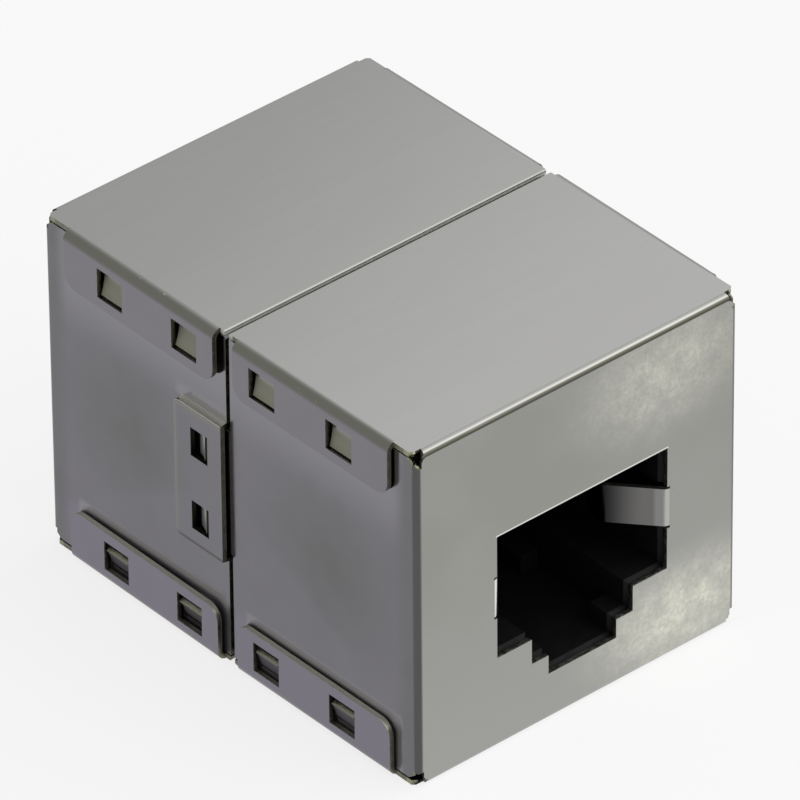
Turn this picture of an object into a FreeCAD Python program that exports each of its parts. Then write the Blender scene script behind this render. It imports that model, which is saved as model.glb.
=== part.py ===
import FreeCAD, Part
import os
from math import atan2, cos, degrees, radians, sin

# Shielded RJ45 inline coupler: two folded sheet-metal shells butted at a middle seam around
# two moulded jacks, which are soldered back to back on one upright circuit board.
#
# Frame: millimetres, +Z up, with the origin at the middle of the underside. The coupler stands
# on its bottom plates at Z = 0, its length runs along Y, and its front face looks towards -Y.
# Both sockets have their latch channel at the bottom.
#
# One half is modelled, the front one, and the rear half is the same half turned end for end.
# Only the heights of the solder pins differ, so that the two rows of pins miss each other.
# Places along the length are measured from the front face, and export() moves each piece to
# the frame.

Vector = FreeCAD.Vector

# ---- shells -------------------------------------------------------------------------------
shell_width = 22.5              # over the plain side walls, without the tabs
shell_height = 21.5             # over the top and bottom plates
coupler_length = 30.0           # over both faces
seam_gap = 0.3                  # between the two shells' edges
sheet = 0.3                     # thickness of the plated steel
fold_radius = 0.4               # outside of the folds between the face and its four flaps
fold_gap = 0.1                  # between a side wall's edge and the plate folded over it
relief_across = 0.66            # corner relief, along the face's width
relief_up = 0.95                # corner relief, along the fold between the face and a side wall
relief_shoulder = (0.45, 0.55)  # across and up, where the relief's edge in the face turns
relief_plate = 0.57             # corner relief, back from the face along the plate's edge
relief_wall = 0.9               # corner relief, back from the face along the side wall's edge

# ---- side tabs, folded from the top and bottom plates over the outside of the walls ----------
tab_fold_radius = 0.6           # outside
tongue_tab_start = 1.8          # from the face, on the wall that carries the tongue
pocket_tab_start = 2.15         # from the face, on the wall that carries the pocket
tab_seam_gap = 0.4              # from the tab that starts later to the shell's seam edge
tongue_tab_gaps = (0.12, 0.15)  # wall to tab, at the tab's end near the face and near the seam
pocket_tab_gaps = (0.15, 0.26)
tab_height = 3.4                # from the plate's outside to the tab's free edge
tab_corner_radius = 0.9

# ---- windows in the tabs, each with a lance of the wall standing in it -----------------------
window_insets = (2.8, 1.33)     # from the tab's end near the face, and from its other end
window_width = 2.05
window_height = 1.87
window_edge = 0.62              # from the tab's free edge
lance_side_clearance = 0.14     # lance to window, each side
lance_slit = 0.12               # cut around three sides of a lance
lance_root = 0.1                # root of the lance past its window
top_lance = (0.05, 0.14)        # short of the window's edge, and how far it stands into it
bottom_lance = (0.42, 0.27)

# ---- tongue on one wall, and the pocket drawn in the other shell's wall for it ---------------
pocket_centre = 11.1            # height above the bottom plate's outside
pocket_height = 9.05
pocket_depth = 3.95             # from the seam edge
pocket_rise = 0.45              # outside of the cover over the outside of the wall
pocket_slope = 0.12             # run of the drawn sides over that rise
pocket_corner_radius = 0.6
drawn_side_offset = 0.15        # inside of the drawn sides from their outside, along the wall
pocket_window_edge = 1.1        # from the seam edge
pocket_window_width = 1.37
pocket_window_height = 1.82
pocket_window_centre = 10.95
pocket_window_spacing = 4.75
pocket_lance = (0.12, 0.24)     # short of the window's edge, and how far it stands into it
tongue_side_clearance = 0.25    # to the pocket, above and below
tongue_end_clearance = 0.3      # to the pocket's closed end
tongue_chamfer = 0.7

# ---- jack opening --------------------------------------------------------------------------
opening_offset = 0.3            # opening's middle to the right of the face's middle
opening_sill = 3.05             # lowest edge over the bottom plate's outside
body_width = 12.0               # for the plug's body
body_height = 7.85
latch_width = 7.15              # for the shoulders of the plug's latch
latch_height = 1.6
lever_width = 4.8               # for the latch's lever
lever_height = 1.2

# ---- ground fingers, folded inward from both sides of the opening ---------------------------
finger_height = 2.4
finger_sill = 2.75              # above the floor of the plug's body
finger_fold_radius = 0.5        # outside
finger_root_inset = 0.2         # the fold starts this far outside the opening's edge
finger_relief = 0.15            # notch above and below the root
finger_angle = 49.0             # fold at the root
finger_reach = 3.0              # straight part
finger_curl_radius = 0.8        # curl of the tip, away from the plug
finger_curl_angle = 58.0
finger_tip = 0.7

# ---- moulded jack housings ---------------------------------------------------------------------
housing_clearance = 0.1         # housing to shell, all round
housing_board_gap = 0.7         # housing's back to the circuit board
housing_chamfer = 0.3           # edges around the front
mouth_inset = 0.1               # socket's walls inside the shell's opening
socket_back_wall = 1.1
housing_wall = 1.2              # outer walls
socket_wall = 1.1               # walls around the socket
core_front = 1.6                # plastic in front of the cored pockets
finger_recess_depth = 0.8       # room for a ground finger that a plug pushes aside
finger_recess_length = 4.8
finger_recess_clearance = 0.2
lead_in = 0.25                  # chamfer around the socket's mouth
keeper_thickness = 1.6          # plastic that the plug's latch snaps behind
keeper_pocket_length = 5.5      # room behind it for the latch's shoulders
foot_height = 3.0               # feet that stand on the circuit board
foot_inset = 1.5                # from the housing's top and bottom
post_radius = 0.75              # locating posts that pass through the circuit board
post_clearance = 0.1
post_stickout = 0.4             # beyond the board
low_post = (-5.2, 3.3)          # across from the opening's middle, and height
high_post = (6.3, 17.6)

# ---- contact carriers ----------------------------------------------------------------------------
carrier_width = 9.6
carrier_height = 2.7
carrier_clearance = 0.05        # carrier to housing
carrier_front = 1.4             # plastic bar of the housing in front of the carrier
comb_length = 0.9               # teeth in front of the socket's back wall
comb_drop = 2.9                 # teeth below the socket's ceiling

# ---- contacts ------------------------------------------------------------------------------------
contact_count = 8
contact_pitch = 1.016
contact_width = 0.4
contact_thickness = 0.3
groove_clearance = 0.05         # contact to carrier
run_height = 0.5                # middle of the upper run over the socket's ceiling
bend_radius = 0.45              # middle line
loop_radius = 0.55              # middle line of the loop at the socket's mouth
loop_front = 1.9                # middle line of the loop behind the housing's front
spring_slope = 13.0
spring_margin = 3.9             # the sloping spring is this much shorter than the socket
spring_tail = 1.3
riser_setback = 0.4             # middle of the risers behind the carrier
front_pin_rows = (0.0, 1.3)     # solder rows over the upper run
rear_pin_rows = (2.6, 3.9)
pin_stickout = 0.5              # pin beyond the board

# ---- circuit board -------------------------------------------------------------------------------
board_thickness = 1.2
board_clearance = 0.1           # board to shell
pin_hole_radius = 0.32          # to the corners
pin_hole_sides = 8              # the small plated holes are drawn with a few flat sides

# ---- places worked out from the dimensions -------------------------------------------------------
half_width = shell_width / 2
middle = coupler_length / 2
seam_edge = middle - seam_gap / 2
mate_edge = middle + seam_gap / 2           # edge of the other shell
latch_floor = opening_sill + lever_height
body_floor = latch_floor + latch_height
opening_top = body_floor + body_height
finger_bottom = body_floor + finger_sill
tab_length = seam_edge - tab_seam_gap - max(tongue_tab_start, pocket_tab_start)
window_starts = (window_insets[0], tab_length - window_insets[1] - window_width)
board_front = middle - board_thickness / 2
board_back = middle + board_thickness / 2
housing_front = sheet + housing_clearance
housing_back = board_front - housing_board_gap
housing_half_width = half_width - sheet - housing_clearance
housing_bottom = sheet + housing_clearance
housing_top = shell_height - sheet - housing_clearance
ceiling = opening_top - mouth_inset
socket_half_width = body_width / 2 - mouth_inset
socket_back = housing_back - socket_back_wall
socket_depth = socket_back - housing_front
spring_length = socket_depth - spring_margin
carrier_top = ceiling + carrier_height
run_level = ceiling + run_height
riser_level = housing_back - riser_setback
carrier_back = riser_level - riser_setback


def box(x0, x1, y0, y1, z0, z1):
    """Box between two opposite corners, given in any order."""
    low = Vector(min(x0, x1), min(y0, y1), min(z0, z1))
    return Part.makeBox(abs(x1 - x0), abs(y1 - y0), abs(z1 - z0), low)


def wire_of(points):
    """Closed outline with straight sides."""
    return Part.makePolygon(points + points[:1])


def prism(points, direction):
    """Straight prism on a flat outline."""
    return Part.Face(wire_of(points)).extrude(direction)


def mirror_x(shape):
    return shape.mirror(Vector(0, 0, 0), Vector(1, 0, 0))


def end_for_end(shape):
    """The same piece in the other half."""
    turned = shape.copy()
    turned.rotate(Vector(0, middle, 0), Vector(0, 0, 1), 180)
    return turned


class Strip:
    """Side view of a bent strip, drawn along its middle line with runs and bends.

    Positions are (u, v) pairs, and place(u, v) turns a pair into a point of the model.
    """

    def __init__(self, start, heading, thickness, place):
        self.at = start
        self.heading = heading
        self.half = thickness / 2
        self.place = place
        self.left = [self.beside(1)]
        self.right = [self.beside(-1)]
        self.left_edges = []
        self.right_edges = []

    def beside(self, sign):
        """Point on the strip's left (1) or right (-1) surface at the present place."""
        angle = radians(self.heading)
        u, v = self.at
        return self.place(u - sign * self.half * sin(angle), v + sign * self.half * cos(angle))

    def run(self, length):
        """Go straight on."""
        angle = radians(self.heading)
        self.at = (self.at[0] + length * cos(angle), self.at[1] + length * sin(angle))
        self.left.append(self.beside(1))
        self.right.append(self.beside(-1))
        self.left_edges.append(Part.makeLine(*self.left[-2:]))
        self.right_edges.append(Part.makeLine(*self.right[-2:]))
        return self

    def bend(self, turn, radius):
        """Turn to the left by positive degrees, or to the right by negative ones."""
        self.turn_half(turn / 2, radius)
        left_middle = self.beside(1)
        right_middle = self.beside(-1)
        self.turn_half(turn / 2, radius)
        self.left.append(self.beside(1))
        self.right.append(self.beside(-1))
        self.left_edges.append(Part.Arc(self.left[-2], left_middle, self.left[-1]).toShape())
        self.right_edges.append(Part.Arc(self.right[-2], right_middle, self.right[-1]).toShape())
        return self

    def turn_half(self, turn, radius):
        """Move along the arc by part of a bend."""
        sense = 1 if turn > 0 else -1
        before = radians(self.heading)
        after = radians(self.heading + turn)
        u = self.at[0] + sense * radius * (sin(after) - sin(before))
        v = self.at[1] - sense * radius * (cos(after) - cos(before))
        self.at = (u, v)
        self.heading += turn

    def solid(self, direction):
        """The strip drawn out along direction."""
        start = Part.makeLine(self.right[0], self.left[0])
        end = Part.makeLine(self.left[-1], self.right[-1])
        edges = [start] + self.left_edges + [end] + self.right_edges
        return Part.Face(Part.Wire(Part.sortEdges(edges)[0])).extrude(direction)


# ---- folded shell ----------------------------------------------------------------------------------
def folded_box():
    """Face with four flaps, parted from each other along the length and at the corners."""
    outer = box(-half_width, half_width, 0, seam_edge, 0, shell_height)
    outer = outer.makeFillet(fold_radius, edges_up_to(outer, 0))
    inner = box(-half_width + sheet, half_width - sheet, sheet, seam_edge + sheet,
                sheet, shell_height - sheet)
    inner = inner.makeFillet(fold_radius - sheet, edges_up_to(inner, sheet))
    shell = outer.cut(inner)
    for side in (-1, 1):
        for level, up in ((0, 1), (shell_height, -1)):
            plate = level + up * sheet
            slit = box(side * half_width, side * (half_width - sheet), relief_wall / 2,
                       seam_edge, plate, plate + up * fold_gap)
            shell = shell.cut(slit)
            for cut in corner_relief(side, level, up):
                shell = shell.cut(cut)
    return shell


def corner_relief(side, level, up):
    """Cuts square to the plate, the wall and the face that open the corner between them."""
    corner = Vector(side * half_width, 0, level)
    under = corner + Vector(0, 0, up * sheet)
    across = corner + Vector(-side * relief_across, 0, 0)
    low = corner + Vector(0, 0, up * relief_up)
    shoulder = corner + Vector(-side * relief_shoulder[0], 0, up * relief_shoulder[1])
    plate_cut = prism([corner, across, corner + Vector(0, relief_plate, 0)],
                      Vector(0, 0, up * fold_radius))
    face_cut = prism([corner, across, shoulder, low], Vector(0, fold_radius, 0))
    wall_cut = prism([under, low, under + Vector(0, relief_wall, 0)],
                     Vector(-side * fold_radius, 0, 0))
    return plate_cut, face_cut, wall_cut


def edges_up_to(shape, y):
    """Edges of a box that lie wholly in its end face at y."""
    return [edge for edge in shape.Edges
            if all(abs(vertex.Point.y - y) < 1e-6 for vertex in edge.Vertexes)]


def raised_lance(place, reach, rise, direction):
    """Tongue cut from a wall, which leaves the wall's plane tangentially and rises."""
    lean = 2 * atan2(rise, reach)
    reach = reach - sheet / 2 * sin(lean)
    radius = (reach ** 2 + rise ** 2) / (2 * rise)
    turn = degrees(2 * atan2(rise, reach))
    return Strip((0, 0), 0, sheet, place).bend(turn, radius).solid(direction)


def with_tab_lances(shell, start, gaps, level, up, short, catch):
    """Raise the lances of the wall at -X that stand in the windows of one tab."""
    root = level + up * (tab_height - window_edge - window_height - lance_root)
    reach = window_height + lance_root - short
    for window_start in window_starts:
        low = start + window_start + lance_side_clearance
        high = start + window_start + window_width - lance_side_clearance
        along_tab = (window_start + window_width / 2) / tab_length
        gap = gaps[0] + (gaps[1] - gaps[0]) * along_tab

        def place(u, v):
            return Vector(-half_width + sheet / 2 - v, low, root + up * u)

        hole = box(-half_width - gaps[0] / 2, -half_width + 2 * sheet,
                   low - lance_slit, high + lance_slit, root, root + up * (reach + lance_slit))
        lance = raised_lance(place, reach, gap + catch, Vector(0, high - low, 0))
        shell = shell.cut(hole).fuse(lance)
    return shell


def leaned(shape, start, gaps):
    """Turned with a tab at -X, which stands off the wall by its two gaps."""
    turned = shape.copy()
    lean = degrees(atan2(gaps[1] - gaps[0], tab_length))
    turned.rotate(Vector(-half_width, start, 0), Vector(0, 0, 1), lean)
    return turned


def side_tab(start, gaps, level, up):
    """Tab at -X, folded from the plate at level. up is the way from the plate to its edge."""
    outside = half_width + gaps[0] + sheet
    root = half_width - 2 * sheet

    def place(u, v):
        return Vector(-u, start, level + up * v)

    strip = Strip((root, sheet / 2), 0, sheet, place)
    strip.run(outside - tab_fold_radius - root)
    strip.bend(90, tab_fold_radius - sheet / 2)
    strip.run(tab_height - tab_fold_radius)
    tab = leaned(strip.solid(Vector(0, tab_length, 0)), start, gaps)
    free_edge = level + up * tab_height
    corners = [edge for edge in tab.Edges
               if all(abs(vertex.Point.z - free_edge) < 1e-6 for vertex in edge.Vertexes)
               and edge.Length < 2 * sheet]
    tab = tab.makeFillet(tab_corner_radius, corners)
    near = free_edge - up * window_edge
    for window_start in window_starts:
        low = start + window_start
        tab = tab.cut(box(-half_width - gaps[0] / 2, -outside - gaps[1],
                          low, low + window_width, near, near - up * window_height))
    return tab


def with_side_tabs(shell, start, gaps):
    """Add both tabs at -X, and the lances under their windows."""
    fold_start = half_width + gaps[0] + sheet - tab_fold_radius
    places = ((shell_height, -1, top_lance), (0, 1, bottom_lance))
    for level, up, lance in places:
        shell = with_tab_lances(shell, start, gaps, level, up, *lance)
    for level, up, _ in places:
        flat_edge = box(-half_width - sheet, -fold_start, start, start + tab_length,
                        level - up * sheet, level + up * sheet)
        shell = shell.cut(leaned(flat_edge, start, gaps)).fuse(side_tab(start, gaps, level, up))
    return shell


def pocket_outline(x, inset, open_end):
    """Outline of the drawn pocket at one depth: square at the seam, rounded at its closed end."""
    radius = pocket_corner_radius - inset
    back = seam_edge - pocket_depth + inset
    low = pocket_centre - pocket_height / 2 + inset
    high = pocket_centre + pocket_height / 2 - inset
    soft = radius * (1 - cos(radians(45)))

    def point(y, z):
        return Vector(x, y, z)

    edges = [
        Part.makeLine(point(open_end, low), point(back + radius, low)),
        Part.Arc(point(back + radius, low), point(back + soft, low + soft),
                 point(back, low + radius)).toShape(),
        Part.makeLine(point(back, low + radius), point(back, high - radius)),
        Part.Arc(point(back, high - radius), point(back + soft, high - soft),
                 point(back + radius, high)).toShape(),
        Part.makeLine(point(back + radius, high), point(open_end, high)),
        Part.makeLine(point(open_end, high), point(open_end, low)),
    ]
    return Part.Wire(edges)


def with_pocket(shell):
    """Draw the pocket in the wall at +X, open towards the seam, with its two windows."""
    outer = Part.makeLoft([pocket_outline(half_width - sheet / 2, 0, seam_edge),
                           pocket_outline(half_width + pocket_rise, pocket_slope, seam_edge)],
                          True, True)
    past_seam = seam_edge + sheet
    inside = drawn_side_offset
    inner = Part.makeLoft(
        [pocket_outline(half_width - 1.5 * sheet, inside, past_seam),
         pocket_outline(half_width + pocket_rise - sheet, inside + pocket_slope, past_seam)],
        True, True)
    shell = shell.fuse(outer).cut(inner)
    for side in (-1, 1):
        level = pocket_window_centre + side * pocket_window_spacing / 2
        high = seam_edge - pocket_window_edge
        shell = shell.cut(box(half_width + (pocket_rise - sheet) / 2, half_width + 2 * pocket_rise,
                              high - pocket_window_width, high,
                              level - pocket_window_height / 2, level + pocket_window_height / 2))
    return shell


def with_tongue(shell):
    """Extend the wall at -X by the tongue that enters the other shell's pocket."""
    half_height = (pocket_height / 2 - 2 * drawn_side_offset - tongue_side_clearance)
    tip = mate_edge + pocket_depth - 2 * drawn_side_offset - tongue_end_clearance
    low = pocket_centre - half_height
    high = pocket_centre + half_height
    outline = [(seam_edge - sheet, low), (tip - tongue_chamfer, low), (tip, low + tongue_chamfer),
               (tip, high - tongue_chamfer), (tip - tongue_chamfer, high),
               (seam_edge - sheet, high)]
    points = [Vector(-half_width, y, z) for y, z in outline]
    tongue = prism(points, Vector(sheet, 0, 0))
    short, catch = pocket_lance
    root = mate_edge + pocket_window_edge + pocket_window_width + lance_root
    reach = pocket_window_width + lance_root - short
    half_lance = pocket_window_height / 2 - lance_side_clearance
    for side in (-1, 1):
        level = pocket_window_centre + side * pocket_window_spacing / 2

        def place(u, v):
            return Vector(-half_width + sheet / 2 - v, root - u, level - half_lance)

        hole = box(-half_width - sheet, -half_width + 2 * sheet, root, root - reach - lance_slit,
                   level - half_lance - lance_slit, level + half_lance + lance_slit)
        rise = pocket_rise - sheet + catch
        lance = raised_lance(place, reach, rise, Vector(0, 0, 2 * half_lance))
        tongue = tongue.cut(hole).fuse(lance)
    return shell.fuse(tongue)


def opening_outline(y, inset):
    """Stepped outline of an RJ45 opening with its latch channel at the bottom."""
    half_body = body_width / 2 - inset
    half_latch = latch_width / 2 - inset
    half_lever = lever_width / 2 - inset
    right = [(half_lever, opening_sill + inset), (half_lever, latch_floor + inset),
             (half_latch, latch_floor + inset), (half_latch, body_floor + inset),
             (half_body, body_floor + inset), (half_body, opening_top - inset)]
    left = [(-x, z) for x, z in right[::-1]]
    return [Vector(opening_offset + x, y, z) for x, z in right + left]


def with_opening(shell):
    """Cut the jack opening and fold a ground finger inward from each side of it."""
    shell = shell.cut(prism(opening_outline(-sheet, 0), Vector(0, 3 * sheet, 0)))
    for side in (-1, 1):
        edge = body_width / 2
        root = edge + finger_root_inset
        notch = box(opening_offset + side * (edge - sheet), opening_offset + side * root,
                    -sheet, 2 * sheet, finger_bottom - finger_relief,
                    finger_bottom + finger_height + finger_relief)

        def place(u, v):
            return Vector(opening_offset + side * (root - u), v, finger_bottom)

        finger = Strip((-sheet, sheet / 2), 0, sheet, place)
        finger.run(sheet)
        finger.bend(finger_angle, finger_fold_radius - sheet / 2)
        finger.run(finger_reach)
        finger.bend(finger_curl_angle, finger_curl_radius)
        finger.run(finger_tip)
        shell = shell.cut(notch).fuse(finger.solid(Vector(0, 0, finger_height)))
    return shell


def make_shell():
    shell = folded_box()
    shell = with_side_tabs(shell, tongue_tab_start, tongue_tab_gaps)
    shell = mirror_x(with_side_tabs(mirror_x(shell), pocket_tab_start, pocket_tab_gaps))
    shell = with_pocket(shell)
    shell = with_tongue(shell)
    return with_opening(shell)


# ---- moulded jack ------------------------------------------------------------------------------------
def make_housing():
    """Moulded jack: stepped socket, slot for the contact carrier, cored sides and feet."""
    hw = housing_half_width
    housing = box(-hw, hw, housing_front, housing_back, housing_bottom, housing_top)
    housing = housing.makeChamfer(housing_chamfer, edges_up_to(housing, housing_front))
    mouth = opening_outline(housing_front - sheet, mouth_inset)
    housing = housing.cut(prism(mouth, Vector(0, socket_depth + sheet, 0)))
    lead = Part.makeLoft([wire_of(opening_outline(housing_front, mouth_inset - lead_in)),
                          wire_of(opening_outline(housing_front + lead_in, mouth_inset))],
                         True, True)
    housing = housing.cut(lead).cut(finger_recesses()).cut(keeper_pocket())
    housing = housing.cut(carrier_slot()).cut(cored_pockets())
    for side in (-1, 1):
        for level in (housing_bottom + foot_inset, housing_top - foot_inset - foot_height):
            foot = box(side * hw, side * (hw - housing_wall), housing_back - housing_wall,
                       board_front, level, level + foot_height)
            housing = housing.fuse(foot)
    for across, level in (low_post, high_post):
        root = Vector(opening_offset + across, housing_back - housing_wall, level)
        length = board_back + post_stickout - root.y
        housing = housing.fuse(Part.makeCylinder(post_radius, length, root, Vector(0, 1, 0)))
    return housing


def keeper_pocket():
    """Room for the shoulders of the plug's latch, behind the keepers at the lever's sides."""
    half = latch_width / 2 - mouth_inset
    front = housing_front + keeper_thickness
    return box(opening_offset - half, opening_offset + half, front,
               front + keeper_pocket_length, opening_sill + mouth_inset, body_floor)


def finger_recesses():
    low = finger_bottom - finger_recess_clearance
    high = finger_bottom + finger_height + finger_recess_clearance
    reach = socket_half_width + finger_recess_depth
    return box(opening_offset - reach, opening_offset + reach, housing_front - sheet,
               housing_front + finger_recess_length, low, high)


def carrier_slot():
    """Slot that the contact carrier is pushed into from the back, and room for the risers."""
    half = carrier_width / 2 + carrier_clearance
    slot = box(opening_offset - half, opening_offset + half, housing_front + carrier_front,
               housing_back + sheet, ceiling - comb_drop - carrier_clearance,
               carrier_top + carrier_clearance)
    top_of_risers = run_level + max(rear_pin_rows) + contact_thickness
    risers = box(opening_offset - half, opening_offset + half, carrier_back,
                 housing_back + sheet, carrier_top, top_of_risers)
    return slot.fuse(risers)


def cored_pockets():
    """Pockets open to the back that keep the walls even."""
    outer = housing_half_width - housing_wall
    reach = socket_half_width + finger_recess_depth + socket_wall
    low = housing_bottom + housing_wall
    high = housing_top - housing_wall
    front = housing_front + core_front
    back = housing_back + sheet
    left = box(-outer, opening_offset - reach, front, back, low, high)
    right = box(opening_offset + reach, outer, front, back, low, high)
    top = box(opening_offset - carrier_width / 2, opening_offset + carrier_width / 2,
              front, back, carrier_top + socket_wall, high)
    return left.fuse(right).fuse(top)


def contact_x(index):
    """Middle of a contact across the jack."""
    return opening_offset + (index - (contact_count - 1) / 2) * contact_pitch


def make_carrier():
    """Plastic insert with a groove for each contact and a comb that parts their free ends."""
    half = carrier_width / 2
    front = housing_front + carrier_front + carrier_clearance
    carrier = box(opening_offset - half, opening_offset + half, front, carrier_back,
                  ceiling, carrier_top)
    comb = box(opening_offset - half, opening_offset + half, socket_back - comb_length,
               carrier_back, ceiling - comb_drop, ceiling)
    carrier = carrier.fuse(comb)
    groove_half = contact_width / 2 + groove_clearance
    groove_top = run_level + contact_thickness / 2 + groove_clearance
    for index in range(contact_count):
        x = contact_x(index)
        groove = box(x - groove_half, x + groove_half, front - sheet, carrier_back + sheet,
                     ceiling - comb_drop - sheet, groove_top)
        carrier = carrier.cut(groove)
    return carrier


def make_contact(index, pin_rows):
    """Spring contact: pin through the board, riser, upper run, loop and free spring."""
    row = pin_rows[index % len(pin_rows)]
    x = contact_x(index) - contact_width / 2

    def place(u, v):
        return Vector(x, u, v)

    tip = board_back + pin_stickout
    loop_centre = housing_front + loop_front + loop_radius
    strip = Strip((tip, run_level + row), 180, contact_thickness, place)
    if row:
        strip.run(tip - riser_level - bend_radius)
        strip.bend(90, bend_radius)
        strip.run(row - 2 * bend_radius)
        strip.bend(-90, bend_radius)
        strip.run(riser_level - bend_radius - loop_centre)
    else:
        strip.run(tip - loop_centre)
    strip.bend(180 - spring_slope, loop_radius)
    strip.run(spring_length)
    strip.bend(spring_slope, bend_radius)
    strip.run(spring_tail)
    return strip.solid(Vector(contact_width, 0, 0))


def make_board():
    """Upright circuit board with a hole for each pin and locating post of both jacks."""
    half = half_width - sheet - board_clearance
    board = box(-half, half, board_front, board_back, sheet + board_clearance,
                shell_height - sheet - board_clearance)
    for side, pin_rows in ((1, front_pin_rows), (-1, rear_pin_rows)):
        for index in range(contact_count):
            level = run_level + pin_rows[index % len(pin_rows)]
            board = board.cut(pin_hole(side * contact_x(index), level))
        for across, level in (low_post, high_post):
            centre = Vector(side * (opening_offset + across), board_front, level)
            board = board.cut(Part.makeCylinder(post_radius + post_clearance, board_thickness,
                                                centre, Vector(0, 1, 0)))
    return board


def pin_hole(x, level):
    corners = []
    for number in range(pin_hole_sides):
        angle = radians(360 * (number + 0.5) / pin_hole_sides)
        corners.append(Vector(x + pin_hole_radius * cos(angle), board_front,
                              level + pin_hole_radius * sin(angle)))
    return prism(corners, Vector(0, board_thickness, 0))


def export(name, shape):
    """Move a piece to the frame and write it as one clean solid."""
    shape = shape.translated(Vector(0, -middle, 0)).removeSplitter()
    solids = shape.Solids
    if len(solids) != 1 or not shape.isValid():
        print("CHECK", name, "solids", len(solids), "valid", shape.isValid())
    solids[0].exportStep(os.path.join("parts", name + ".step"))
    print(name, round(solids[0].Volume, 3), "mm3")


def main():
    os.makedirs("parts", exist_ok=True)
    shell = make_shell()
    housing = make_housing()
    carrier = make_carrier()
    export("front_shell", shell)
    export("rear_shell", end_for_end(shell))
    export("front_housing", housing)
    export("rear_housing", end_for_end(housing))
    export("front_contact_carrier", carrier)
    export("rear_contact_carrier", end_for_end(carrier))
    export("circuit_board", make_board())
    for index in range(contact_count):
        number = str(index + 1)
        export("front_contact_" + number, make_contact(index, front_pin_rows))
        export("rear_contact_" + number, end_for_end(make_contact(index, rear_pin_rows)))


main()
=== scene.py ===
from math import cos, radians, sin

import bmesh
import bpy
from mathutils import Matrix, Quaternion, Vector
from mathutils.bvhtree import BVHTree


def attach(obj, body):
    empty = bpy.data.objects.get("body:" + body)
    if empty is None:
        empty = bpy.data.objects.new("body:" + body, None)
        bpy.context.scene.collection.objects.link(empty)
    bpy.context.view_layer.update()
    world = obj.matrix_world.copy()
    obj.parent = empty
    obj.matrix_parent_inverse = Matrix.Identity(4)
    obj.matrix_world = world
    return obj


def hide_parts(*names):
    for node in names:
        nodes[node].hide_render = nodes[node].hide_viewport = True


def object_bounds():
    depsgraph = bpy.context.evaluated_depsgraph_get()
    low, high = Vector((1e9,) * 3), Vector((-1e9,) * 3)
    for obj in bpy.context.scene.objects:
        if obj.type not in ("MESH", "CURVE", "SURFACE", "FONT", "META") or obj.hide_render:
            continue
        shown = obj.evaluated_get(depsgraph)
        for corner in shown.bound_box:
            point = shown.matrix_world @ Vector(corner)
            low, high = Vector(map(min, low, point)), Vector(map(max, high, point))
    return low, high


# Looks of the shielded RJ45 inline coupler. Everything is in metres in the part's own frame:
# +Z up, origin at the middle of the underside, front face towards -Y. The two shells are the
# same sheet turned end for end, so their looks are stated in lengths that hold for both.

MM = 0.001

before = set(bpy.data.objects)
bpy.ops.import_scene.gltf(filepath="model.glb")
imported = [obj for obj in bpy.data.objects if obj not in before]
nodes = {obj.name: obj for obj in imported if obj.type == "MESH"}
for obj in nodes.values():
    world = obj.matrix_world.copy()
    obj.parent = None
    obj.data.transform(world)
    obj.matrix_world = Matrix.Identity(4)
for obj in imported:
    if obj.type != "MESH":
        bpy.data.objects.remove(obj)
CAD_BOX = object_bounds()

SHEET = 0.3 * MM                    # thickness of the shells' steel
SEAM_EDGE = 0.15 * MM               # each shell's edge from the middle of the seam
WALL_FACE = 11.25 * MM              # outside of the plain side walls
COVER_FACE = 11.70 * MM             # outside of the drawn pocket's cover
POCKET_MIDDLE = 11.10 * MM          # height of the pocket's middle
WINDOWS_REACH = (3.2 * MM, 3.7 * MM)    # its windows, from the seam and from that height
RELIEF_REACH = (0.8 * MM, 1.0 * MM, 1.1 * MM)   # a corner opening, inward from wall, face, plate


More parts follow.
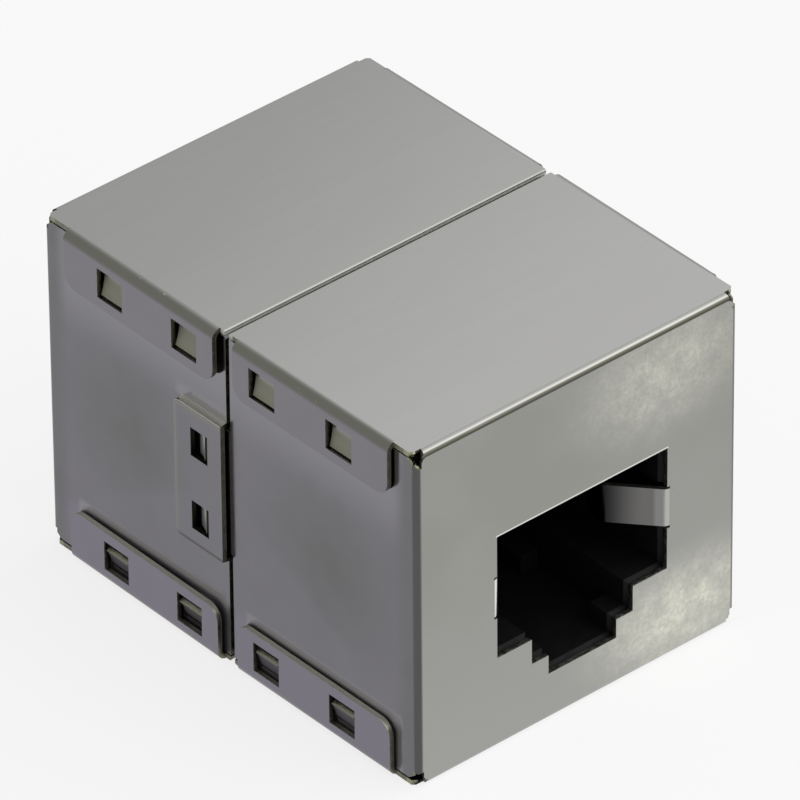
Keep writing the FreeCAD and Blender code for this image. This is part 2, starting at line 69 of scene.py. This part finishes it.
# ---- node helpers ---------------------------------------------------------------------------
class Nodes:
    """Short calls for building a material's or the world's node tree."""

    def __init__(self, tree):
        self.tree = tree
        tree.nodes.clear()

    def add(self, kind, inputs=None, **settings):
        node = self.tree.nodes.new(kind)
        for name, value in settings.items():
            setattr(node, name, value)
        for name, value in (inputs or {}).items():
            self.set(node.inputs[name], value)
        return node

    def set(self, socket, value):
        if isinstance(value, bpy.types.NodeSocket):
            self.tree.links.new(value, socket)
        else:
            socket.default_value = value

    def math(self, operation, a, b=0.0):
        node = self.add("ShaderNodeMath", operation=operation)
        self.set(node.inputs[0], a)
        self.set(node.inputs[1], b)
        return node.outputs[0]

    def product(self, first, *others):
        for other in others:
            first = self.math("MULTIPLY", first, other)
        return first

    def maximum(self, first, *others):
        for other in others:
            first = self.math("MAXIMUM", first, other)
        return first

    def mix(self, factor, a, b):
        node = self.add("ShaderNodeMix", data_type="RGBA")
        self.set(node.inputs["Factor"], factor)
        self.set(node.inputs["A"], a)
        self.set(node.inputs["B"], b)
        return node.outputs["Result"]

    def paint(self, colour, *coats):
        """Lays coats over a colour, each one as (mask, colour)."""
        for mask, coat in coats:
            colour = self.mix(mask, colour, coat)
        return colour

    def ramp(self, value, low, high, to_low=0.0, to_high=1.0):
        """Soft step between two plain values. It falls when low is above high."""
        node = self.add("ShaderNodeMapRange", interpolation_type="SMOOTHSTEP")
        self.set(node.inputs["Value"], value)
        self.set(node.inputs["From Min"], low)
        self.set(node.inputs["From Max"], high)
        self.set(node.inputs["To Min"], to_low)
        self.set(node.inputs["To Max"], to_high)
        return node.outputs["Result"]

    def step(self, length, low, high, to_low=0.0, to_high=1.0):
        """The same for a length, with low and high in mm."""
        return self.ramp(length, low * MM, high * MM, to_low, to_high)

    def band(self, length, low, full, still_full, high):
        """1 between two lengths in mm, falling softly to 0 outside them."""
        return self.product(self.step(length, low, full), self.step(length, high, still_full))

    def spot(self, across, up, centre, reach):
        """1 at a place given in mm, falling softly to 0 at its reach."""
        a = self.math("DIVIDE", self.math("SUBTRACT", across, centre[0] * MM), reach[0] * MM)
        b = self.math("DIVIDE", self.math("SUBTRACT", up, centre[1] * MM), reach[1] * MM)
        square = self.math("ADD", self.product(a, a), self.product(b, b))
        return self.ramp(self.math("SQRT", square), 1.0, 0.0)

    def place(self, stretch=(1, 1, 1), turn=(0, 0, 0)):
        """Object coordinates, stretched and turned."""
        coordinates = self.add("ShaderNodeTexCoord").outputs["Object"]
        mapping = self.add("ShaderNodeMapping", {"Vector": coordinates})
        mapping.inputs["Scale"].default_value = stretch
        mapping.inputs["Rotation"].default_value = turn
        return mapping.outputs["Vector"]

    def split(self, output):
        """The three parts of the surface's position ("Object") or direction ("Normal")."""
        node = self.add("ShaderNodeSeparateXYZ")
        self.set(node.inputs[0], self.add("ShaderNodeTexCoord").outputs[output])
        return list(node.outputs)

    def noise(self, per_mm, detail=2.0, rough=0.5, vector=None):
        node = self.add("ShaderNodeTexNoise",
                        {"Vector": vector or self.place(), "Scale": per_mm / MM,
                         "Detail": detail, "Roughness": rough})
        return node.outputs["Fac"]

    def bump(self, height, strength, depth, beneath=None):
        """The surface's direction, bent by a height whose depth is in mm."""
        node = self.add("ShaderNodeBump",
                        {"Height": height, "Strength": strength, "Distance": depth * MM})
        if beneath:
            self.set(node.inputs["Normal"], beneath)
        return node.outputs["Normal"]

    def open_air(self, distance, closed, clear):
        """0 deep in a gap, 1 where the surface sees out."""
        node = self.add("ShaderNodeAmbientOcclusion", {"Distance": distance * MM}, samples=8)
        return self.ramp(node.outputs["AO"], closed, clear)


def rgb(red, green, blue):
    return (red, green, blue, 1.0)


def grey(value):
    return rgb(value, value, value)


def new_material(name):
    material = bpy.data.materials.new(name)
    material.use_nodes = True
    n = Nodes(material.node_tree)
    shader = n.add("ShaderNodeBsdfPrincipled")
    output = n.add("ShaderNodeOutputMaterial", {"Surface": shader.outputs["BSDF"]})
    return material, n, shader, output


# ---- plating of the shells ------------------------------------------------------------------
GAP_SHADE_COLOUR = rgb(0.012, 0.012, 0.010)   # painted shade in the gaps between sheets
GAP_SIGHT = 0.3                         # mm: how near another surface has to be to paint shade on one


class Surface:
    """Where a point of a shell lies and which way it faces."""

    def __init__(self, n):
        self.x, self.y, self.z = n.split("Object")
        facing = n.split("Normal")
        self.across, self.along, self.up = (n.math("ABSOLUTE", part) for part in facing)
        self.upward = facing[2]
        self.far_x = n.math("ABSOLUTE", self.x)
        self.far_y = n.math("ABSOLUTE", self.y)
        # to the right on an end face, seen from outside
        self.rightward = n.product(self.x, n.math("SIGN", self.y), -1.0)
        # along a side wall from the seam, positive on the shell whose pocket is on that wall
        self.wall_run = n.product(self.y, n.math("SIGN", self.x), -1.0)


def plate_colour(n, at):
    """Top and bottom plates: faintly streaked, with painted light that makes them paler towards
    the front and the right.
    """
    slant = n.math("SUBTRACT", n.product(at.x, 0.35), at.y)
    streak = n.noise(1.6, 3.0, 0.6, vector=n.place(stretch=(0.06, 1.0, 1.0)))
    painted_light_and_streak = n.math("ADD", n.step(slant, -20, 18), n.ramp(streak, 0.2, 0.8, -0.03, 0.03))
    return n.mix(painted_light_and_streak, rgb(0.290, 0.293, 0.282), rgb(0.422, 0.420, 0.410))


def face_colour(n, at):
    """End faces: painted shade darker towards the top, clouded, with two bright mottled spots of
    painted highlight on the right and a painted highlight along the top edge of the jack opening."""
    low_highlight = n.spot(at.rightward, at.z, (7.5, 2.7), (9.0, 4.7))
    high_highlight = n.product(n.spot(at.rightward, at.z, (6.2, 18.8), (8.5, 5.5)), 0.6)
    highlight_mottle = n.product(n.ramp(n.noise(4.5, 5.0, 0.75), 0.3, 0.7, 0.55, 1.15),
                        n.ramp(n.noise(0.8, 3.0), 0.3, 0.7, 0.6, 1.1))
    highlight_patches = n.product(n.maximum(low_highlight, high_highlight), highlight_mottle)
    cloud = n.ramp(n.noise(0.16, 2.0), 0.3, 0.7, 0.0, 0.35)
    opening_highlight = n.product(n.band(at.z, 13.64, 13.70, 13.76, 13.82),
                     n.band(at.rightward, -5.8, -5.7, 6.3, 6.4))
    return n.paint(
        n.mix(n.step(at.z, 0, 17), rgb(0.365, 0.364, 0.345), rgb(0.305, 0.305, 0.282)),
        (cloud, rgb(0.36, 0.36, 0.345)),
        (highlight_patches, rgb(0.72, 0.72, 0.62)),
        (opening_highlight, rgb(0.75, 0.75, 0.70)))


def wall_colour(n, at, matt_strips):
    """Side walls with their tabs, in painted shade: darker and cooler than the rest, darkest in
    the middle of each shell, lighter low by the seam and on the tabs, darker by the ends, with a
    painted reflection on the wall beside the upper tabs.
    """
    middle = n.spot(at.far_y, at.z, (8.0, 11.0), (8.0, 8.0))
    lit_low_by_seam = n.step(n.math("ADD", n.product(at.far_y, 0.6), at.z), 12, 11, 0.0, 0.7)
    reflection_by_upper_tab = n.product(n.step(at.z, 14.5, 18), n.step(at.far_x, 11.35, 11.3))
    upper_tab = n.product(n.step(at.far_x, 11.5, 11.6), n.step(at.z, 15, 17))
    lower_tab = n.step(at.z, 4, 3)
    shade_by_end = n.step(at.far_y, 13.0, 14.3)
    unevenness = n.ramp(n.noise(0.5, 3.0), 0.3, 0.7, 0.0, 0.12)
    return n.paint(
        n.mix(middle, rgb(0.175, 0.169, 0.187), rgb(0.140, 0.140, 0.143)),
        (lit_low_by_seam, rgb(0.176, 0.171, 0.190)),
        (reflection_by_upper_tab, rgb(0.225, 0.219, 0.238)),
        (upper_tab, rgb(0.190, 0.183, 0.203)),
        (lower_tab, rgb(0.196, 0.182, 0.222)),
        (shade_by_end, rgb(0.148, 0.144, 0.151)),
        (unevenness, rgb(0.22, 0.215, 0.23)),
        (matt_strips, rgb(0.27, 0.262, 0.28)))


def matt_wall_strips(n, at):
    """Lighter, matt strips on the walls, beside the lower tabs and above the pocket."""
    by_tabs = n.maximum(n.band(at.wall_run, -13.9, -13.4, -1.5, -1.0),
                        n.band(at.wall_run, -0.1, 0.4, 12.3, 12.9))
    by_tabs = n.product(by_tabs, n.step(at.z, 4.2, 3.7))
    by_pocket = n.product(n.band(at.z, 15.4, 15.5, 15.7, 16.6),
                          n.band(at.wall_run, 0.0, 0.1, 3.8, 4.6), 0.6)
    on_wall = n.step(at.far_x, 11.3, 11.26)
    return n.product(n.maximum(by_tabs, by_pocket), on_wall)


def fold_coats(n, at, plates, by_face, crown_highlight):
    """Where the sheet is folded: olive and dark painted shade, with a painted highlight line
    along the ridge of the fold between plate and face, and painted glints on the tabs' folds."""
    by_wall = n.step(at.far_x, 9, 10)
    seam_rim = n.product(n.step(at.far_y, 0.5, 0.4),
                         n.ramp(n.product(at.along, at.up), 0.1, 0.3))
    face_fold = n.product(n.ramp(at.along, 0.60, 0.85), n.ramp(at.up, 0.02, 0.25), by_face,
                          n.step(at.z, 10, 12))
    end_fold = n.product(n.ramp(n.product(at.across, at.along), 0.02, 0.36), by_wall)
    tab_fold = n.product(n.ramp(n.product(at.across, at.up), 0.0, 0.48), by_wall, plates)
    glint = n.ramp(n.noise(3.0, 4.0, 0.8, vector=n.place(stretch=(1.0, 0.5, 1.0))), 0.68, 0.72)
    return ((seam_rim, rgb(0.27, 0.27, 0.255)),
            (face_fold, rgb(0.07, 0.069, 0.054)),
            (crown_highlight, rgb(0.25, 0.25, 0.235)),
            (end_fold, rgb(0.098, 0.096, 0.095)),
            (tab_fold, rgb(0.125, 0.125, 0.108)),
            (n.product(tab_fold, glint), rgb(0.45, 0.45, 0.42)))


def lance_coats(n, at, lances):
    """The lances, in painted light and shade by their height: darkest in the lower tabs, lighter
    in the pocket and olive in the upper tabs.
    """
    metal = n.mix(n.step(at.z, 5, 6), rgb(0.13, 0.12, 0.14), rgb(0.24, 0.23, 0.26))
    metal = n.mix(n.step(at.z, 16, 17), metal, rgb(0.225, 0.225, 0.180))
    return ((lances, metal),)


def pocket_coats(n, at):
    """The drawn pocket: a painted highlight around its windows, painted shade along its foot, a
    bright painted highlight on its drawn sides.
    """
    height = n.band(at.z, 5.8, 6.2, 16.0, 16.4)
    cover = n.product(n.step(at.far_x, 11.5, 11.6), height)
    rim_highlight = n.maximum(n.step(at.far_y, 3.6, 3.9), n.step(at.z, 15.0, 15.4))
    # painted shade along the foot of the cover
    foot = n.step(at.z, 6.95, 6.78)
    # painted highlight on the drawn sides
    drawn = n.product(n.step(at.far_x, 11.2, 11.3), n.ramp(at.upward, -0.1, 0.1), height,
                      n.ramp(at.across, 0.97, 0.85))
    return ((n.product(cover, rim_highlight), rgb(0.20, 0.197, 0.185)),
            (n.product(cover, foot), rgb(0.095, 0.093, 0.085)),
            (drawn, rgb(0.66, 0.66, 0.57)))


def finger_coats(n, at, off_plates):
    """The ground fingers: painted shade, darker the deeper they reach, and a painted highlight
    where they leave the face.
    """
    by_opening = n.step(at.far_x, 8, 7)
    inside = n.product(by_opening, n.step(at.far_y, 14.6, 14.4), off_plates)
    # painted shade: darker the deeper the finger reaches into the opening
    finger = n.mix(n.step(at.far_y, 12.2, 14.2), grey(0.01), rgb(0.15, 0.147, 0.145))
    # painted highlight where the fingers leave the face, brighter on the left one
    root = n.product(by_opening, n.step(at.far_y, 14.88, 14.95),
                     n.ramp(n.product(at.across, at.along), 0.02, 0.15))
    bent = n.mix(n.step(at.rightward, -1, 1), rgb(0.80, 0.80, 0.78), rgb(0.46, 0.46, 0.43))
    return (inside, finger), (root, bent)


def plating():
    """Dull nickel plating, with painted light and shade: darker and cooler on the sides, mottled
    painted highlights on the faces, olive and dark in folds.
    """
    material, n, shader, _ = new_material("nickel_plating")
    at = Surface(n)
    plates = n.maximum(n.step(at.z, 20.5, 20.7), n.step(at.z, 1.0, 0.8))
    off_plates = n.math("SUBTRACT", 1.0, plates)
    by_face = n.step(at.far_y, 14.4, 14.6)
    # painted highlight along the ridge of the fold between the top plate and each face
    crown_highlight = n.product(n.ramp(at.along, 0.06, 0.25), n.ramp(at.along, 0.66, 0.45),
                      n.step(at.z, 20, 20.5), by_face)
    lances = n.product(n.band(at.far_x, 11.26, 11.32, 11.62, 11.66), off_plates,
                       n.ramp(at.across, 0.6, 0.8))
    matt_strips = matt_wall_strips(n, at)
    # colour by facing: the walls' darker, cooler colour is painted shade
    colour = n.paint(
        plate_colour(n, at),
        (n.ramp(at.along, 0.5, 0.9), face_colour(n, at)),
        (n.ramp(at.across, 0.5, 0.9), wall_colour(n, at, matt_strips)),
        *fold_coats(n, at, plates, by_face, crown_highlight),
        *lance_coats(n, at, lances),
        *pocket_coats(n, at),
        *finger_coats(n, at, off_plates))
    top_seam = n.product(n.step(at.far_y, 0.5, 0.45), n.step(at.z, 20.5, 20.7))
    # painted shade: darkened where other metal is near, though not on the lances or along the top
    # seam
    clear = n.maximum(n.open_air(GAP_SIGHT, 0.03, 0.32), n.product(lances, 0.8),
                      n.product(top_seam, 0.8))
    n.set(shader.inputs["Base Color"], n.mix(clear, GAP_SHADE_COLOUR, colour))
    shader.inputs["Metallic"].default_value = 1.0
    rough = n.ramp(n.noise(0.6, 5.0, 0.65), 0.3, 0.7, 0.18, 0.26)
    rough = n.math("SUBTRACT", rough, n.product(n.ramp(at.across, 0.9, 0.98), 0.05))
    rough = n.maximum(rough, n.product(lances, 0.6), n.product(crown_highlight, 0.4),
                      n.product(matt_strips, 0.45))
    n.set(shader.inputs["Roughness"], rough)
    grain = n.bump(n.noise(9.0, 3.0, 0.7), 0.25, 0.004)
    n.set(shader.inputs["Normal"], n.bump(n.noise(0.10, 1.0), 1.0, 0.03, beneath=grain))
    return material


def sheared_edge():
    """Bare edge of the sheet, where it was cut: grey on the ends, olive and dark on the sides,
    with painted light on edges facing up, painted shade in the pocket's windows and corner
    openings, and a pale painted highlight along the top seam.
    """
    material, n, shader, _ = new_material("sheared_edge")
    x, y, z = n.split("Object")
    far_x = n.math("ABSOLUTE", x)
    far_y = n.math("ABSOLUTE", y)
    streaks = n.ramp(n.noise(5.0, 3.0, 0.6), 0.35, 0.65)
    # painted light: edges facing up are lighter
    facing_up = n.product(n.ramp(n.split("Normal")[2], 0.4, 0.8), n.step(z, 2.4, 2.5))
    # painted shade: the edges in the pocket's windows are near black
    pocket_window = n.product(n.band(z, 6.0, 6.4, 16.0, 16.4), n.step(far_y, 0.5, 0.7))
    steel = n.mix(streaks, rgb(0.17, 0.17, 0.15), rgb(0.24, 0.24, 0.215))
    olive = n.paint(
        n.mix(streaks, rgb(0.14, 0.135, 0.10), rgb(0.20, 0.195, 0.15)),
        (facing_up, rgb(0.50, 0.49, 0.40)),
        (pocket_window, rgb(0.035, 0.035, 0.025)))
    # pale painted highlight on the edge along the top seam
    top_seam = n.product(n.step(far_y, 0.5, 0.45), n.step(z, 20.9, 21.0))
    # painted shade inside the corner openings, painted light on their outer rims
    corner = n.product(n.step(far_y, 14.0, 14.1), n.step(far_x, 10.3, 10.4))
    relief = n.mix(n.step(far_x, 10.93, 10.96), rgb(0.03, 0.03, 0.02), rgb(0.30, 0.30, 0.21))
    colour = n.paint(
        steel,
        (n.step(far_x, 10.7, 10.9), olive),
        (top_seam, rgb(0.62, 0.62, 0.58)),
        (corner, relief))
    # painted shade: darkened where other metal is near, though not along the top seam
    clear = n.maximum(n.open_air(GAP_SIGHT, 0.03, 0.3), n.product(top_seam, 0.9))
    n.set(shader.inputs["Base Color"], n.mix(clear, GAP_SHADE_COLOUR, colour))
    n.set(shader.inputs["Metallic"], n.ramp(top_seam, 0.0, 1.0, 1.0, 0.2))
    n.set(shader.inputs["Roughness"], n.ramp(streaks, 0.0, 1.0, 0.34, 0.5))
    n.set(shader.inputs["Normal"], n.bump(streaks, 0.5, 0.01))
    return material


# ---- materials of the inside ----------------------------------------------------------------
def moulded(name, dark, light):
    """Black moulded plastic with a fine spark-eroded grain."""
    material, n, shader, _ = new_material(name)
    n.set(shader.inputs["Base Color"], n.mix(n.noise(0.8, 3.0), grey(dark), grey(light)))
    n.set(shader.inputs["Roughness"], n.ramp(n.noise(1.5, 3.0), 0.3, 0.7, 0.48, 0.62))
    shader.inputs["Specular IOR Level"].default_value = 0.12
    n.set(shader.inputs["Normal"], n.bump(n.noise(12.0, 2.0), 0.4, 0.008))
    return material


def laminate():
    """Green solder mask over a glass weave."""
    material, n, shader, _ = new_material("board_laminate")
    weave = n.add("ShaderNodeTexBrick", {"Vector": n.place(turn=(radians(90), 0, 0)),
                                         "Scale": 2.0 / MM, "Mortar Size": 0.03})
    n.set(shader.inputs["Base Color"], n.mix(weave.outputs["Fac"], rgb(0.006, 0.030, 0.014),
                                             rgb(0.009, 0.045, 0.020)))
    n.set(shader.inputs["Roughness"], n.ramp(n.noise(2.0, 2.0), 0.3, 0.7, 0.25, 0.4))
    return material


def gold():
    """Thin bright gold over nickel, wiped along the springs."""
    material, n, shader, _ = new_material("contact_gold")
    wipe = n.noise(4.0, 3.0, 0.6, vector=n.place(stretch=(1.0, 0.1, 0.3)))
    n.set(shader.inputs["Base Color"], n.mix(wipe, rgb(0.80, 0.56, 0.22), rgb(0.95, 0.76, 0.40)))
    shader.inputs["Metallic"].default_value = 1.0
    n.set(shader.inputs["Roughness"], n.ramp(wipe, 0.3, 0.7, 0.2, 0.34))
    return material


# ---- dressed shells -------------------------------------------------------------------------
EDGE_ROUNDING = 0.03 * MM           # burnished edges of the sheet
SEAM_ROUNDING = 0.12 * MM           # rolled-over outer edges along the middle seam
RIM_ROUNDING = 0.10 * MM            # on the walls there, and around the pocket's cover
SHARP = radians(32)                 # least angle of an edge that gets rounded
FLAT = radians(0.2)                 # greatest angle between facets of one flat face
SAME_POINT = 0.0005 * MM
SAME_PLACE = 0.01 * MM
CUT_WIDTH = 1.1 * SHEET             # a cut edge is no wider than this,
CUT_DEPTH = 2.2 * SHEET             # and has more metal than this behind it
SKIN = 0.002 * MM                   # start of a ray, below the face it leaves


def dressed_shell(node, plate, edge):
    """The shell's own form with rounded edges and a second material on its cut edges."""
    mesh = nodes[node].data.copy()
    mesh.name = node + "_sheet"
    mesh.materials.clear()
    mesh.materials.append(plate)
    mesh.materials.append(edge)
    bm = bmesh.new()
    bm.from_mesh(mesh)
    bmesh.ops.remove_doubles(bm, verts=bm.verts, dist=SAME_POINT)
    bmesh.ops.dissolve_limit(bm, angle_limit=FLAT, verts=bm.verts, edges=bm.edges)
    bm.normal_update()
    tree = BVHTree.FromBMesh(bm)
    for face in bm.faces:
        face.material_index = int(is_cut_edge(tree, face))
    for offset, wanted in ((SEAM_ROUNDING, is_plate_rim), (RIM_ROUNDING, is_wall_rim)):
        rolled = [line for line in bm.edges if wanted(line)]
        bmesh.ops.bevel(bm, geom=rolled, offset=offset, offset_type="OFFSET", segments=4,
                        profile=0.5, affect="EDGES", clamp_overlap=True, material=0)
    for face in bm.faces:
        face.smooth = True
    weight = bm.edges.layers.float.new("bevel_weight_edge")
    for line in bm.edges:
        line[weight] = float(line.calc_face_angle(0.0) > SHARP and not is_relief(line))
    bm.to_mesh(mesh)
    bm.free()
    piece = bpy.data.objects.new(node + "_sheet", mesh)
    bpy.context.scene.collection.objects.link(piece)
    bevel = piece.modifiers.new("burnish", "BEVEL")
    bevel.width = EDGE_ROUNDING
    bevel.segments = 2
    bevel.limit_method = "WEIGHT"
    bevel.use_clamp_overlap = True
    flats = piece.modifiers.new("flats", "WEIGHTED_NORMAL")
    flats.mode = "FACE_AREA"
    flats.weight = 100
    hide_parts(node)
    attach(piece, "root")


def near(a, b):
    return abs(a - b) < SAME_PLACE


def is_plate_rim(line):
    """True for the outer edge of a top or bottom plate along the middle seam."""
    if line.calc_face_angle(0.0) <= SHARP:
        return False
    return all(near(abs(end.co.y), SEAM_EDGE)
               and min(CAD_BOX[1].z - end.co.z, end.co.z) < SAME_PLACE for end in line.verts)


def is_wall_rim(line):
    """True for the outer edge of a wall along the seam, or the outline of the pocket's cover."""
    if line.calc_face_angle(0.0) < SHARP:
        return False
    ends = [(abs(end.co.x), abs(end.co.y), abs(end.co.z - POCKET_MIDDLE)) for end in line.verts]
    if all(near(y, SEAM_EDGE) for x, y, z in ends):
        return all(near(x, WALL_FACE) for x, y, z in ends)
    return all(near(x, COVER_FACE) and (y > WINDOWS_REACH[0] or z > WINDOWS_REACH[1])
               for x, y, z in ends)


def is_relief(line):
    """True for an edge of the small openings in the folded corners."""
    high = CAD_BOX[1]
    return all(WALL_FACE - abs(end.co.x) < RELIEF_REACH[0]
               and high.y - abs(end.co.y) < RELIEF_REACH[1]
               and min(high.z - end.co.z, end.co.z) < RELIEF_REACH[2] for end in line.verts)


def is_cut_edge(tree, face):
    """True for a narrow face with more than the sheet's thickness of metal behind it."""
    width = 2 * face.calc_area() / face.calc_perimeter()
    if width > CUT_WIDTH:
        return False
    start = face.calc_center_median_weighted() - face.normal * SKIN
    through = tree.ray_cast(start, -face.normal)[3]
    return through is None or through > CUT_DEPTH


# ---- stage, light and camera ----------------------------------------------------------------
AIM = Vector((0.72, 0.05, 11.46)) * MM
VIEW_YAW = radians(40.83)           # from +Y towards +X
VIEW_PITCH = radians(35.39)         # looking down
VIEW_ROLL = radians(-0.53)
VIEW_DISTANCE = 639.2 * MM
LENS = 540.0                        # in mm
SENSOR = 36.0                       # in mm

KEY_FROM = Vector((0.55, -0.55, 0.63))
KEY_DISTANCE = 0.8
KEY_SIZE = 1.6
KEY_POWER = 7.6                     # in watts
FILL_STRENGTH = 0.42                # of the surroundings, as a light

FLOOR_SIZE = 6.0
FLOOR_HEIGHT = -0.02 * MM           # just below the underside, so the two don't share a plane
FLOOR_GLOW = 0.80                   # share of its own white in what the camera sees of it


def add_camera():
    data = bpy.data.cameras.new("camera")
    data.lens = LENS
    data.sensor_width = SENSOR
    data.clip_start = 0.01
    data.clip_end = 20.0
    camera = bpy.data.objects.new("camera", data)
    bpy.context.scene.collection.objects.link(camera)
    ahead = Vector((sin(VIEW_YAW) * cos(VIEW_PITCH), cos(VIEW_YAW) * cos(VIEW_PITCH),
                    -sin(VIEW_PITCH)))
    camera.location = AIM - ahead * VIEW_DISTANCE
    camera.rotation_mode = "QUATERNION"
    camera.rotation_quaternion = (ahead.to_track_quat("-Z", "Y")
                                  @ Quaternion((0, 0, 1), VIEW_ROLL))
    bpy.context.scene.camera = camera


def add_softbox():
    data = bpy.data.lights.new("key", "AREA")
    data.shape = "DISK"
    data.size = KEY_SIZE
    data.energy = KEY_POWER
    lamp = bpy.data.objects.new("key", data)
    bpy.context.scene.collection.objects.link(lamp)
    direction = KEY_FROM.normalized()
    lamp.location = AIM + direction * KEY_DISTANCE
    lamp.rotation_euler = (-direction).to_track_quat("-Z", "Y").to_euler()


def seen_rays(n):
    """1 for what the camera sees: straight, mirrored or through glass."""
    path = n.add("ShaderNodeLightPath")
    return n.maximum(path.outputs["Is Camera Ray"], path.outputs["Is Glossy Ray"],
                     path.outputs["Is Transmission Ray"])


def add_floor():
    """Pale matt paper, lifted towards the background's white where it's seen."""
    bpy.ops.mesh.primitive_plane_add(size=FLOOR_SIZE, location=(0, 0, FLOOR_HEIGHT))
    floor = bpy.context.object
    floor.name = "floor"
    material, n, shader, output = new_material("floor_paper")
    shader.inputs["Base Color"].default_value = grey(0.92)
    shader.inputs["Roughness"].default_value = 0.9
    shader.inputs["Specular IOR Level"].default_value = 0.0
    white = n.add("ShaderNodeEmission", {"Color": grey(1.0), "Strength": 1.0})
    both = n.add("ShaderNodeMixShader", {"Fac": n.product(seen_rays(n), FLOOR_GLOW)})
    n.set(both.inputs[1], shader.outputs["BSDF"])
    n.set(both.inputs[2], white.outputs[0])
    n.set(output.inputs["Surface"], both.outputs[0])
    floor.data.materials.append(material)


def set_world():
    """Even white surroundings for the camera and for reflections, and a softer fill light."""
    world = bpy.data.worlds.new("studio")
    bpy.context.scene.world = world
    world.use_nodes = True
    n = Nodes(world.node_tree)
    fill = n.add("ShaderNodeBackground", {"Color": grey(1.0), "Strength": FILL_STRENGTH})
    shown = n.add("ShaderNodeBackground", {"Color": grey(1.0), "Strength": 1.0})
    both = n.add("ShaderNodeMixShader", {"Fac": seen_rays(n)})
    n.set(both.inputs[1], fill.outputs[0])
    n.set(both.inputs[2], shown.outputs[0])
    n.add("ShaderNodeOutputWorld", {"Surface": both.outputs[0]})


# ---- build ----------------------------------------------------------------------------------
def main():
    plate = plating()
    edge = sheared_edge()
    for node in ("front_shell", "rear_shell"):
        dressed_shell(node, plate, edge)
    # the carriers' names hold the word contact too, so the contacts come last
    finishes = {
        "housing": moulded("jack_plastic", 0.004, 0.007),
        "carrier": moulded("carrier_plastic", 0.006, 0.011),
        "board": laminate(),
        "contact": gold(),
    }
    for name, node in nodes.items():
        finish = next((finishes[word] for word in finishes if word in name), None)
        if finish:
            node.data.materials.clear()
            node.data.materials.append(finish)
    add_camera()
    add_floor()
    add_softbox()
    set_world()
    bpy.context.scene.view_settings.view_transform = "Standard"


main()
